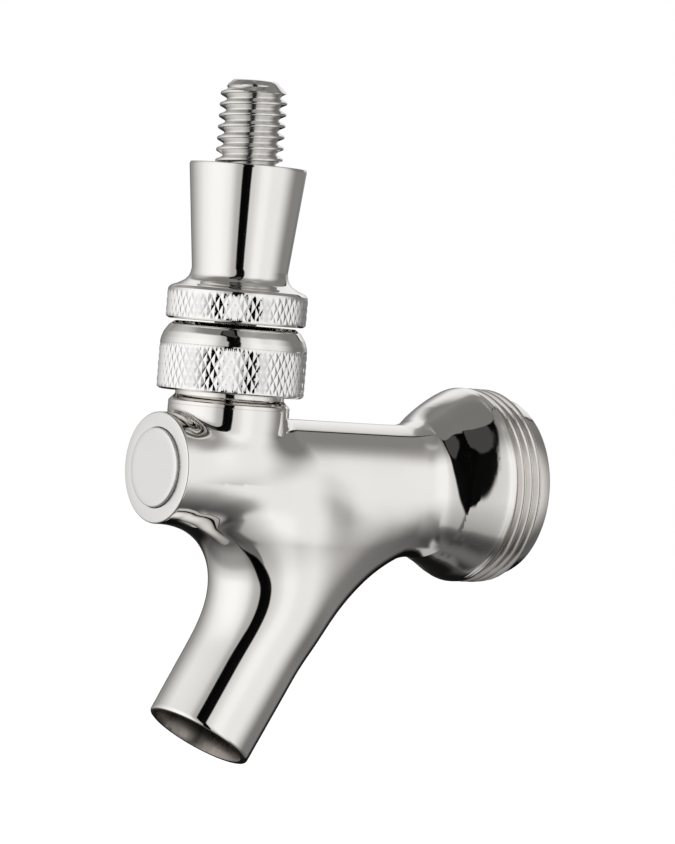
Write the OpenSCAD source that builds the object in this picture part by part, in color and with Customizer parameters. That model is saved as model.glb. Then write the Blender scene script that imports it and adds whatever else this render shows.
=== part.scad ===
// Beer faucet with a rear-closing valve.
// Origin: centre of the rear coupling face, on the barrel axis.
// +Y points out of the rear face towards the shank, -Y to the front, +Z up.
// All lengths are in millimetres.

/* [Barrel] */
// Distance from the lever axis to the rear coupling face
lever_to_rear = 49.1; // [48:0.1:52]
// Distance from the lever axis to the front boss face
lever_to_front = 11.57; // [11.2:0.01:13]
// Radius of the front boss
boss_r = 7.88; // [7.6:0.01:8.2]
// Radius of the barrel where the flare starts
barrel_r = 8.1; // [7.9:0.01:8.4]
// Radius of the bore that the valve shaft slides in
barrel_bore_r = 5.5; // [5.4:0.01:5.6]
// Radius of the pressed front cap
cap_r = 5.58; // [5.56:0.01:5.62]
// How far the front cap stands proud of the boss face
cap_proud = 0.55; // [0.3:0.05:0.8]

/* [Rear coupling] */
// Crest radius of the coupling thread
coupling_r = 14.25; // [14.2:0.01:14.3]
// Pitch of the coupling thread
coupling_pitch = 1.411; // [1.35:0.001:1.45]
// Radius of the plain band behind the thread
band_r = 13.1; // [12.9:0.1:13.3]
// Length of the plain band
band_len = 2.0; // [1.6:0.1:2.2]
// Radius of the shank socket
socket_r = 11.2; // [11:0.1:11.4]
// Depth of the shank socket
socket_depth = 6.1; // [6:0.1:6.4]
// Number of anti-rotation teeth in the socket
teeth = 24; // [12:1:30]
// Height of the anti-rotation teeth
tooth_h = 0.7; // [0.4:0.1:0.9]

/* [Neck] */
// Radius of the neck
neck_r = 8.6; // [8.5:0.05:8.8]
// Crest radius of the bonnet thread on the neck
neck_thread_r = 8.5; // [8.4:0.05:8.55]
// Pitch of the bonnet thread
neck_pitch = 1.27; // [1.2:0.01:1.3]
// Radius of the bore that holds the lever ball
neck_bore_r = 6.75; // [6.7:0.01:6.8]

/* [Lever] */
// Height of the ball centre, the tilt axis, above the barrel axis
pivot_z = 12.3; // [12.2:0.05:12.4]
// Radius of the lever ball
ball_r = 6.5; // [6.4:0.05:6.5]
// Radius of the rod between ball and stud
rod_r = 3.0; // [2.6:0.1:3]
// Radius of the finger's stem
finger_r = 1.6; // [1.4:0.05:1.65]
// Radius of the finger's rounded tip
tip_r = 2.0; // [1.9:0.01:2]
// Crest radius of the handle stud's thread
stud_r = 4.75; // [4.7:0.01:4.76]
// Pitch of the handle stud's thread
stud_pitch = 1.5875; // [1.5:0.0005:1.6]
// Height of the stud's top
stud_top = 55.25; // [52:0.25:60]

/* [Ferrule] */
// Height of the ferrule's rim
ferrule_rim_z = 21.0; // [20.95:0.05:21.3]
// Height of the ferrule's top face
ferrule_top_z = 43.3; // [40:0.1:46]
// Radius of the ferrule's knurled rim
ferrule_r = 9.95; // [9.8:0.05:10.1]

/* [Bonnet nut] */
// Radius of the bonnet nut over its knurl
nut_r = 10.45; // [10.3:0.05:10.6]
// Height of the nut's lower face
nut_low_z = 11.0; // [10.9:0.05:11.1]
// Height of the nut's top face
nut_top_z = 20.75; // [20.6:0.05:20.8]

/* [Spout] */
// Lean of the spout's lower end towards the front, in degrees
spout_lean = 30; // [27:0.5:31]
// Outer radius of the spout at the bend
spout_r = 7.95; // [7.9:0.05:8.1]
// Outer radius of the spout at its mouth
mouth_r = 7.8; // [7.7:0.05:7.9]
// Radius of the bore in the mouth
mouth_bore_r = 6.6; // [6.4:0.05:6.7]
// Bend radius of the spout's centreline
bend_r = 33; // [31:0.5:35]
// Length of the straight lower end
straight_len = 12; // [11:0.5:13]
// Width of the rib behind the spout
web_w = 9; // [7:0.5:11]

/* [Valve] */
// Distance from the lever axis to the valve seat
seat_y = 36.0; // [35.5:0.1:36.2]
// Radius of the chamber behind the seat
chamber_r = 8.5; // [8.4:0.1:8.6]
// Radius of the rubber shaft seat
shaft_seat_r = 7.2; // [7:0.05:7.4]
// Radius of the shaft's guide
guide_r = 5.42; // [5.3:0.01:5.45]
// Radius of the shaft's stem
stem_r = 3.0; // [2.6:0.1:3.2]
// Radius of the threaded end that carries the seat
tail_r = 2.0; // [1.9:0.05:2.1]

/* [Hidden] */
$fn = 96;
chrome = [0.88, 0.87, 0.86];
steel = [0.62, 0.61, 0.60];
rubber = [0.10, 0.10, 0.11];
acetal = [0.93, 0.92, 0.88];

front_y = -lever_to_rear - lever_to_front;
// the spout's centreline: straight down from the root, then a bend, then straight
root_y = 9.9;
root_z = -10.5;
// length from the second corner of the centreline to the mouth
end_len = straight_len + bend_r * tan(spout_lean / 4);

// Moves children from the lever axis's frame into the part's frame
module at_lever() translate([0, -lever_to_rear, 0]) children();

// Turns a shape that was drawn along +Z so that it runs along +Y from the given place
module along_y(y) translate([0, y, 0]) rotate([-90, 0, 0]) children();

// Outline of n thread ridges as [radius, height] points, starting at height z0
function ridge_pts(rc, p, n, z0) = let (d = 0.6134 * p, f = d * tan(30), c = p / 8)
    [for (i = [0:n - 1]) each [
        [rc - d, z0 + i * p], [rc, z0 + i * p + f],
        [rc, z0 + i * p + f + c], [rc - d, z0 + i * p + 2 * f + c]]];

// A threaded rod made of ring ridges, from z0 up over n pitches
module ridged_rod(rc, p, n, z0)
    rotate_extrude() polygon(concat([[0, z0]], ridge_pts(rc, p, n, z0),
        [[rc - 0.6134 * p, z0 + n * p], [0, z0 + n * p]]));

// A ring with a plain bore
module ring(ro, ri, h) difference() {
    cylinder(r = ro, h = h);
    translate([0, 0, -1]) cylinder(r = ri, h = h + 2);
}

module barrel_outside() along_y(front_y) rotate_extrude() polygon([
    [0, 0], [boss_r - 0.25, 0], [boss_r, 0.25],
    [barrel_r, lever_to_front + lever_to_rear - 18.3],
    [barrel_r + 0.3, lever_to_front + lever_to_rear - 16.6],
    [11.2, lever_to_front + lever_to_rear - 12.25],
    [13.8, lever_to_front + lever_to_rear - 8.25],
    [14.1, lever_to_front + lever_to_rear - 8.15],
    [coupling_r, lever_to_front + lever_to_rear - 7.8],
    [coupling_r, lever_to_front + lever_to_rear - 7.1],
    [coupling_r - 0.866, lever_to_front + lever_to_rear - 6.6],
    [0, lever_to_front + lever_to_rear - 6.6]]);

module coupling_outside() {
    along_y(0) translate([0, 0, -6.7]) ridged_rod(coupling_r, coupling_pitch, 3, 0);
    along_y(-band_len - 0.5) cylinder(r = band_r, h = band_len + 0.5);
}

module neck_outside() at_lever() rotate_extrude() polygon([
    [0, 0], [neck_r, 0], [neck_r, 9.5], [neck_thread_r - 0.78, 10.4],
    [neck_thread_r - 0.78, 16.4], [0, 16.4]]);

// Corners of the spout's centreline, as [distance behind the lever axis, height]
corner_a = [root_y, root_z - bend_r * tan(spout_lean / 4)];
corner_b = [root_y - bend_r + bend_r / cos(spout_lean / 4) * cos(spout_lean * 3 / 4),
            root_z - bend_r / cos(spout_lean / 4) * sin(spout_lean * 3 / 4)];

// The way down the spout: straight, a half-bend and the straight end, with a ball at each corner
module spout_run(r_root, r_mid, r_end, extra) at_lever() {
    translate([0, corner_a[0], corner_a[1]]) cylinder(r = r_root, h = -corner_a[1]);
    translate([0, corner_a[0], corner_a[1]]) sphere(r = max(r_root, r_mid) + 0.12);
    translate([0, corner_a[0], corner_a[1]]) rotate([180 - spout_lean / 2, 0, 0])
        cylinder(r = r_mid, h = norm(corner_b - corner_a));
    translate([0, corner_b[0], corner_b[1]]) sphere(r = max(r_mid, r_end) + 0.12);
    translate([0, corner_b[0], corner_b[1]]) rotate([180 - spout_lean, 0, 0]) cylinder(r = r_end, h = end_len + extra);
}

module spout_outside() {
    spout_run(spout_r + 0.1, spout_r, mouth_r, -0.4);
    at_lever() translate([0, corner_b[0], corner_b[1]]) rotate([180 - spout_lean, 0, 0]) translate([0, 0, end_len - 0.4])
        cylinder(r1 = mouth_r, r2 = mouth_r - 0.4, h = 0.4);
}

// The rib that joins the back of the spout to the underside of the barrel
module spout_web() at_lever() translate([-web_w / 2, 0, 0]) rotate([90, 0, 90]) linear_extrude(height = web_w)
    polygon([[10, -5], [33, -5], [33, -9.2], [26, -12.6], [21.5, -16.5], [15.8, -23.4], [10, -20]]);

module spout_inside() spout_run(5.9, 6.2, mouth_bore_r, 1);

module faucet_body() color(chrome) {
    difference() {
        union() {
            barrel_outside();
            coupling_outside();
            neck_outside();
            at_lever() ridged_rod(neck_thread_r, neck_pitch, 4, 11.2);
            spout_outside();
            spout_web();
        }
        // shaft bore with the front cap's counterbore
        along_y(front_y - 1) cylinder(r = barrel_bore_r, h = lever_to_front + seat_y + 2);
        along_y(front_y - 1) cylinder(r = cap_r + 0.02, h = 1 + 1.7);
        // valve chamber and shank socket
        along_y(seat_y - lever_to_rear) cylinder(r = chamber_r, h = lever_to_rear - seat_y + 1);
        along_y(-socket_depth) cylinder(r = socket_r, h = socket_depth + 1);
        // ball bore, washer shoulder and the finger's way down
        at_lever() translate([0, 0, 7.2]) cylinder(r = neck_bore_r, h = 12);
        at_lever() cylinder(r = 5.3, h = 8);
        at_lever() translate([-2.6, 0, 3]) cube([5.2, 6.6, 4.2]);
        spout_inside();
    }
    // anti-rotation teeth inside the rear mouth
    for (i = [0:teeth - 1]) rotate([0, i * 360 / teeth, 0])
        translate([-0.55, -3.2, socket_r - tooth_h]) cube([1.1, 2.9, tooth_h + 0.4]);
}

module front_cap() color(chrome) along_y(front_y - cap_proud) rotate_extrude() polygon([
    [0, 0], [cap_r - 0.15, 0], [cap_r, 0.15], [cap_r, cap_proud + 1.6], [0, cap_proud + 1.6]]);

module bonnet_nut() color(chrome) at_lever() difference() {
    rotate_extrude() polygon([
        [0, nut_low_z], [nut_r - 0.3, nut_low_z], [nut_r, nut_low_z + 0.3], [nut_r, 17.9],
        [10.4, 18.3], [10.05, 19.1], [9.35, 20.1], [8.6, nut_top_z], [0, nut_top_z]]);
    // thread for the neck
    ridged_rod(neck_thread_r + 0.1, neck_pitch, 5, 11.2 - neck_pitch);
    translate([0, 0, 15]) cylinder(r = neck_thread_r + 0.1, h = 2.05);
    translate([0, 0, nut_low_z - 1]) cylinder(r = neck_thread_r - 0.45, h = 6);
    // flared opening for the rod
    rotate_extrude() polygon([[0, 16], [6.05, 16], [6.05, 17.3], [7.75, nut_top_z + 0.01], [7.75, 22], [0, 22]]);
}

// A flanged acetal ring that grips the ball from above
module friction_washer() color(acetal) at_lever() difference() {
    rotate_extrude() polygon([
        [5.85, 13.6], [6.65, 13.6], [6.65, 16.45], [7.6, 16.45], [7.6, 17.0], [5.85, 17.0]]);
    translate([0, 0, pivot_z]) sphere(r = ball_r + 0.05);
}

// A rubber ring that seals under the ball
module ball_washer() color(rubber) at_lever() difference() {
    rotate_extrude() polygon([[4.85, 7.22], [6.7, 7.22], [6.7, 9.6], [4.85, 9.6]]);
    translate([0, 0, pivot_z]) sphere(r = ball_r + 0.05);
}

module lever() color(steel) at_lever() {
    sphere(r = tip_r);
    cylinder(r = finger_r, h = 7);
    translate([0, 0, pivot_z]) sphere(r = ball_r);
    rotate_extrude() polygon([
        [0, 15], [rod_r, 15], [rod_r, 22.8], [3.55, 23.6], [3.55, 24.1], [0, 24.1]]);
    // thread inside the ferrule, then the exposed stud
    ridged_rod(stud_r - 0.2, stud_pitch, 12, 24.05);
    ridged_rod(stud_r, stud_pitch, 7, 24.05 + 12 * stud_pitch - 0.01);
    rotate_extrude() polygon([
        [0, 53], [3.77, 53], [3.77, stud_top - 0.6], [3.1, stud_top], [0, stud_top]]);
}

module lever_ferrule() color(chrome) at_lever() difference() {
    rotate_extrude() polygon([
        [0, ferrule_rim_z], [ferrule_r - 0.35, ferrule_rim_z], [ferrule_r, ferrule_rim_z + 0.35],
        [ferrule_r, 25.35], [9.66, 25.7], [8.5, 26.2], [7.37, 26.8], [6.83, 27.5], [6.78, 28.4],
        [8.2, ferrule_top_z - 0.12], [8.08, ferrule_top_z], [0, ferrule_top_z]]);
    translate([0, 0, ferrule_rim_z - 1]) cylinder(r = 8.9, h = 1 + 24.4 - ferrule_rim_z);
    ridged_rod(stud_r - 0.1, stud_pitch, 12, 24.05);
    translate([0, 0, ferrule_top_z - 0.5]) cylinder(r = stud_r + 0.12, h = 2);
    translate([0, 0, 24]) cylinder(r = stud_r - 0.87, h = 20);
}

module valve_shaft() color(steel) at_lever() difference() {
    union() {
        along_y(-8.4) rotate_extrude() polygon([
            [0, 0], [guide_r - 0.4, 0], [guide_r, 0.4], [guide_r, 12.2], [guide_r - 0.4, 12.6], [0, 12.6]]);
        along_y(4) cylinder(r = stem_r, h = seat_y - 4 + 0.04);
        along_y(seat_y) cylinder(r = tail_r, h = 8.4);
    }
    // hole that the finger's tip works in, and the opening above it
    translate([0, 0, -3.4]) cylinder(r = tip_r + 0.15, h = 6);
    translate([-2.45, -4.5, 1.9]) cube([4.9, 7.1, 5]);
}

module shaft_seat() color(rubber) at_lever() along_y(seat_y + 0.04) rotate_extrude() polygon([
    [tail_r + 0.03, 0], [shaft_seat_r - 0.4, 0], [shaft_seat_r, 0.4], [shaft_seat_r, 3.0], [tail_r + 0.03, 3.0]]);

module seat_washer() color(steel) at_lever() along_y(seat_y + 3.05) ring(6.0, tail_r + 0.05, 0.8);

module seat_nut() color(steel) at_lever() along_y(seat_y + 3.86) difference() {
    cylinder(r = 4.04, h = 2.8, $fn = 6);
    translate([0, 0, -1]) cylinder(r = tail_r + 0.03, h = 5);
}

module coupling_gasket() color(rubber) along_y(-socket_depth + 0.01) ring(socket_r - 0.1, chamber_r, 2.0);

faucet_body();
front_cap();
bonnet_nut();
friction_washer();
ball_washer();
lever();
lever_ferrule();
valve_shaft();
shaft_seat();
seat_washer();
seat_nut();
coupling_gasket();
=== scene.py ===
"""Looks of the beer faucet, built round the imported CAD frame."""
import math

import bmesh
import bpy
import numpy as np
from mathutils import Matrix, Vector


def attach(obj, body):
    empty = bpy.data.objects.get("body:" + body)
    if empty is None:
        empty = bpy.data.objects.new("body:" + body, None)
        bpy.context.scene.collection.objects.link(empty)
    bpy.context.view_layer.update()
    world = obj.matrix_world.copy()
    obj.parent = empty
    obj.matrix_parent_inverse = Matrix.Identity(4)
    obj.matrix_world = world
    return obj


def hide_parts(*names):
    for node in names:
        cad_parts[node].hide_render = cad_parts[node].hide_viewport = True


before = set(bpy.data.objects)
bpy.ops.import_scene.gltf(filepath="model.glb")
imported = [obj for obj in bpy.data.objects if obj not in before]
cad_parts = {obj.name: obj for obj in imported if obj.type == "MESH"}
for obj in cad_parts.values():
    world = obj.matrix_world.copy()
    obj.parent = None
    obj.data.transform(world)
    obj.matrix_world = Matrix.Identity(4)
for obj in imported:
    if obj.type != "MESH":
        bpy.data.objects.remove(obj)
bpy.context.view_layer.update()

# ---------------------------------------------------------------- camera
# Fitted to the object's real size: 4695.7 px focal length on an 844 px tall
# frame, 663 mm from the lever, 4.7 degrees of roll.
AZ, EL, ROLL = math.radians(53.233), math.radians(1.279), math.radians(4.72)
back = Vector((math.sin(AZ) * math.cos(EL), -math.cos(AZ) * math.cos(EL), math.sin(EL)))
fwd = -back
right = fwd.cross(Vector((0, 0, 1))).normalized()
up = right.cross(fwd)
row_x = math.cos(ROLL) * right + math.sin(ROLL) * up
row_y = -math.sin(ROLL) * right + math.cos(ROLL) * up
CAM_AT = Vector((0.540318, -0.384393 - 0.0491, 0.023057))
cam_data = bpy.data.cameras.new("camera")
cam_data.sensor_width = 36.0
cam_data.lens = 4695.683 * 36.0 / 844.0
cam_data.clip_start, cam_data.clip_end = 0.01, 20.0
cam = bpy.data.objects.new("camera", cam_data)
bpy.context.scene.collection.objects.link(cam)
m = Matrix.Identity(4)
for i in range(3):
    m[i][0], m[i][1], m[i][2], m[i][3] = row_x[i], row_y[i], back[i], CAM_AT[i]
cam.matrix_world = m
bpy.context.scene.camera = cam

# ---------------------------------------------------------------- shape code
# All lengths in this section are millimetres, measured from the point where
# the lever axis meets the barrel axis. LEVER_Y moves them to the row frame.
LEVER_Y = -49.1
FRONT = -11.57          # boss face
NECK_CUT = 9.0          # where the cast neck ends and the turned part starts
FLARE_CUT = 41.3        # where the flare ends and the coupling starts
LEAN = math.radians(30.0)
BEND_R = 33.0
ROOT_Y, ROOT_Z = 9.9, -10.5
BEND_C = (ROOT_Y - BEND_R, ROOT_Z)
BEND_E = (BEND_C[0] + BEND_R * math.cos(LEAN), ROOT_Z - BEND_R * math.sin(LEAN))
SP_DIR = np.array([0.0, -math.sin(LEAN), -math.cos(LEAN)])
STRAIGHT = 12.3
TIP = np.array([0.0, BEND_E[0], BEND_E[1]]) + SP_DIR * STRAIGHT
MOUTH_R = 7.8


def smin(a, b, k):
    h = np.maximum(k - np.abs(a - b), 0.0) / k
    return np.minimum(a, b) - h * h * k * 0.25


def seg(p, a, b, ra, rb):
    """Distance to a tapered capsule, good enough for blending."""
    a, b = np.asarray(a, float), np.asarray(b, float)
    ab = b - a
    t = np.clip(((p - a) @ ab) / (ab @ ab), 0.0, 1.0)
    d = p - a - t[..., None] * ab
    return np.sqrt((d * d).sum(-1)) - (ra + (rb - ra) * t)


def smax(a, b, k):
    h = np.maximum(k - np.abs(a - b), 0.0) / k
    return np.maximum(a, b) + h * h * k * 0.25


def barrel_r(y):
    """Outer radius of the barrel and its flare."""
    base = 7.88 + 0.22 * np.clip((y + 11.57) / 40.0, 0.0, 1.0)
    t = y - 34.0
    horn = 9.0 + 0.9226 * t - 0.02976 * t * t
    return smin(smax(base, horn, 1.6), 14.2, 0.4)


def d_barrel(p):
    y = p[..., 1]
    r = barrel_r(y)
    slope = (barrel_r(y + 0.05) - barrel_r(y - 0.05)) / 0.1
    return (np.hypot(p[..., 0], p[..., 2]) - r) / np.sqrt(1.0 + slope * slope)


def d_neck(p):
    """The neck: upright, drawn in towards its lower end so that its sides melt into the barrel."""
    z = p[..., 2]
    t = np.clip((7.6 - z) / 9.0, 0.0, 1.0)
    q = np.hypot(p[..., 0], p[..., 1]) - (8.6 - 2.3 * t * t)
    low = np.maximum(-2.0 - z, 0.0)
    return np.where(low > 0, np.hypot(np.maximum(q, 0.0), low), q)


def d_spout(p):
    """Bent tube: straight down from the barrel, a bend, then straight to the mouth and past it."""
    x, y, z = p[..., 0], p[..., 1], p[..., 2]
    # upright part
    low = np.minimum(z - ROOT_Z, 0.0)
    high = np.clip(z + 5.2, 0.0, 4.0) ** 2 / 8.0 + np.maximum(z + 1.2, 0.0)
    du = np.sqrt(x * x + (y - ROOT_Y) ** 2 + (low + high) ** 2)
    # bend
    vy, vz = y - BEND_C[0], z - BEND_C[1]
    ang = np.clip(np.arctan2(-vz, vy), 0.0, LEAN)
    cy, cz = BEND_C[0] + BEND_R * np.cos(ang), BEND_C[1] - BEND_R * np.sin(ang)
    db = np.sqrt(x * x + (y - cy) ** 2 + (z - cz) ** 2)
    # straight end
    ty, tz = y - BEND_E[0], z - BEND_E[1]
    t = np.maximum(ty * SP_DIR[1] + tz * SP_DIR[2], 0.0)
    ds = np.sqrt(x * x + (ty - t * SP_DIR[1]) ** 2 + (tz - t * SP_DIR[2]) ** 2)
    # radius along the tube
    s = np.where(t > 0, BEND_R * LEAN + t, BEND_R * ang)
    r = 8.05 + (MOUTH_R - 8.05) * np.clip(s / (BEND_R * LEAN + STRAIGHT), 0.0, 1.0)
    return np.minimum(np.minimum(du, db), ds) - r


def trunk(p):
    """Barrel, spout and web, melted into each other."""
    b = d_barrel(p)
    s = d_spout(p)
    w1 = seg(p, (0, 12.903, -16.533), (0, 41.0, 2.21), 4.88, 4.33)
    w2 = seg(p, (0, 10.399, -20.234), (0, 20.959, -4.651), 5.035, 5.637)
    t = np.clip(-p[..., 2] / 8.0, 0.0, 1.0)
    f = smin(s, b, 2.0 + 10.753 * t * t * (3 - 2 * t))
    f = smin(f, w1, 7.5)
    return smin(f, w2, 4.862)


def with_neck(f, p):
    t = np.clip((7.4 - p[..., 2]) / 6.0, 0.0, 1.0)
    return smin(f, d_neck(p), 1.049 + 5.0 * t * t * (3 - 2 * t))


def rough_sdf(p):
    return with_neck(trunk(p), p)


def body_sdf(p):
    """The casting as polished: its fillets run evenly into the flat parts, up to the flare's lip."""
    f = trunk(p)
    w = np.clip((39.6 - p[..., 1]) / 2.4, 0.0, 1.0) * np.clip((p[..., 1] + 9.5) / 3.0, 0.0, 1.0)
    e = 1.5
    g = sum(trunk(p + np.array((i * e, j * e, k * e))) for i in (-1, 1) for j in (-1, 1) for k in (-1, 1)) / 8.0
    return with_neck(f + (g - 0.12 - f) * w, p)


def surface_net(fn, final, lo, hi, step):
    """Naive surface net of fn = 0 on a grid, evened out, with each vertex then pulled onto final = 0."""
    n = [int(round((b - a) / step)) + 1 for a, b in zip(lo, hi)]
    ax = [lo[i] + step * np.arange(n[i]) for i in range(3)]
    g = np.empty(n, np.float64)
    for i, x in enumerate(ax[0]):
        pts = np.stack(np.meshgrid([x], ax[1], ax[2], indexing="ij"), -1)[0]
        g[i] = fn(pts)
    neg = g < 0
    corners = [(i, j, k) for i in (0, 1) for j in (0, 1) for k in (0, 1)]
    cs = {c: neg[c[0]:n[0] - 1 + c[0], c[1]:n[1] - 1 + c[1], c[2]:n[2] - 1 + c[2]] for c in corners}
    tot = sum(v.astype(np.int8) for v in cs.values())
    active = (tot > 0) & (tot < 8)
    idx = np.full(active.shape, -1, np.int64)
    cells = np.argwhere(active)
    idx[active] = np.arange(len(cells))
    acc = np.zeros((len(cells), 3))
    cnt = np.zeros(len(cells))
    for a in corners:
        for axis in range(3):
            if a[axis]:
                continue
            b = list(a)
            b[axis] = 1
            ia, ib = cells + np.array(a), cells + np.array(b)
            va, vb = g[ia[:, 0], ia[:, 1], ia[:, 2]], g[ib[:, 0], ib[:, 1], ib[:, 2]]
            m = (va < 0) != (vb < 0)
            t = va[m] / (va[m] - vb[m])
            q = np.tile(np.array(a, float), (m.sum(), 1))
            q[:, axis] = t
            acc[m] += q
            cnt[m] += 1
    verts = np.array(lo) + step * (cells + acc / cnt[:, None])
    quads = []
    for axis in range(3):
        u, v = [(1, 2), (2, 0), (0, 1)][axis]
        a = neg
        sl0 = [slice(None)] * 3
        sl1 = [slice(None)] * 3
        sl0[axis], sl1[axis] = slice(0, -1), slice(1, None)
        change = a[tuple(sl0)] != a[tuple(sl1)]
        e = np.argwhere(change)
        ok = (e[:, u] > 0) & (e[:, v] > 0) & (e[:, u] < n[u] - 1) & (e[:, v] < n[v] - 1)
        e = e[ok]
        inside = a[e[:, 0], e[:, 1], e[:, 2]]
        du, dv = np.zeros(3, int), np.zeros(3, int)
        du[u], dv[v] = 1, 1
        c00, c10, c11, c01 = e - du - dv, e - dv, e, e - du
        q = np.stack([idx[c[:, 0], c[:, 1], c[:, 2]] for c in (c00, c10, c11, c01)], 1)
        q[~inside] = q[~inside][:, ::-1]
        quads.append(q)
    quads = np.concatenate(quads)
    quads = quads[(quads >= 0).all(1)]
    for _ in range(5):
        # relax along the surface, then pull back onto it
        nb = np.zeros_like(verts)
        c = np.zeros(len(verts))
        for i in range(4):
            j = (i + 1) % 4
            np.add.at(nb, quads[:, i], verts[quads[:, j]])
            np.add.at(nb, quads[:, j], verts[quads[:, i]])
            np.add.at(c, quads[:, i], 1)
            np.add.at(c, quads[:, j], 1)
        c[c == 0] = 1
        nb[c == 1] = verts[c == 1]
        verts = 0.4 * verts + 0.6 * nb / c[:, None]
        verts = pull(fn, verts)
    for _ in range(2):
        verts = pull(final, verts)
    return verts, quads


def gradient(fn, p, h=0.01):
    g = np.empty_like(p)
    for i in range(3):
        d = np.zeros(3)
        d[i] = h
        g[:, i] = (fn(p + d) - fn(p - d)) / (2 * h)
    return g


def pull(fn, p):
    g = gradient(fn, p)
    return p - g * (fn(p) / np.maximum((g * g).sum(1), 1e-6))[:, None]

# ---------------------------------------------------------------- mesh tools
TAU = 2 * math.pi
MM = Matrix.Scale(0.001, 4)
AT_LEVER = Matrix.Translation((0, LEVER_Y * 0.001, 0)) @ MM
TO_Y = Matrix.Rotation(math.radians(-90), 4, "X")                # local +Z becomes +Y
TO_MOUTH = Matrix.Translation(tuple(TIP)) @ Matrix.Rotation(math.radians(150), 4, "X")


def angles(n):
    return np.arange(n) * TAU / n


def round_corners(pts, radii, steps=4):
    """The [r, z] outline with each inner corner replaced by an arc (radius 0 keeps it sharp)."""
    out = []
    last = len(pts) - 1
    for i, (p, rad) in enumerate(zip(pts, radii)):
        p = np.array(p, float)
        if rad <= 0 or i in (0, last):
            out.append(tuple(p))
            continue
        a, b = np.array(pts[i - 1], float) - p, np.array(pts[i + 1], float) - p
        la, lb = np.linalg.norm(a), np.linalg.norm(b)
        a, b = a / la, b / lb
        half = math.acos(max(-1.0, min(1.0, float(a @ b)))) / 2
        t = min(rad / math.tan(half), 0.48 * la, 0.48 * lb)
        rr = t * math.tan(half)
        c = p + (a + b) / np.linalg.norm(a + b) * (rr / math.sin(half))
        a0 = math.atan2(*(p + a * t - c)[::-1])
        a1 = math.atan2(*(p + b * t - c)[::-1])
        d = (a1 - a0 + math.pi) % TAU - math.pi
        for k in range(steps + 1):
            w = a0 + d * k / steps
            out.append((c[0] + rr * math.cos(w), c[1] + rr * math.sin(w)))
    return out


def from_whole(x):
    return np.abs(x - np.round(x))


def knurl_height(theta, z, count, tall, blunt=0.86):
    """0 in the grooves to 1 on the slightly blunted points of a diamond knurl."""
    a, b = theta * count / TAU, z / tall
    h = np.minimum(from_whole(a + b), from_whole(a - b)) * 2.0
    return np.minimum(h, blunt) / blunt


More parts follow.
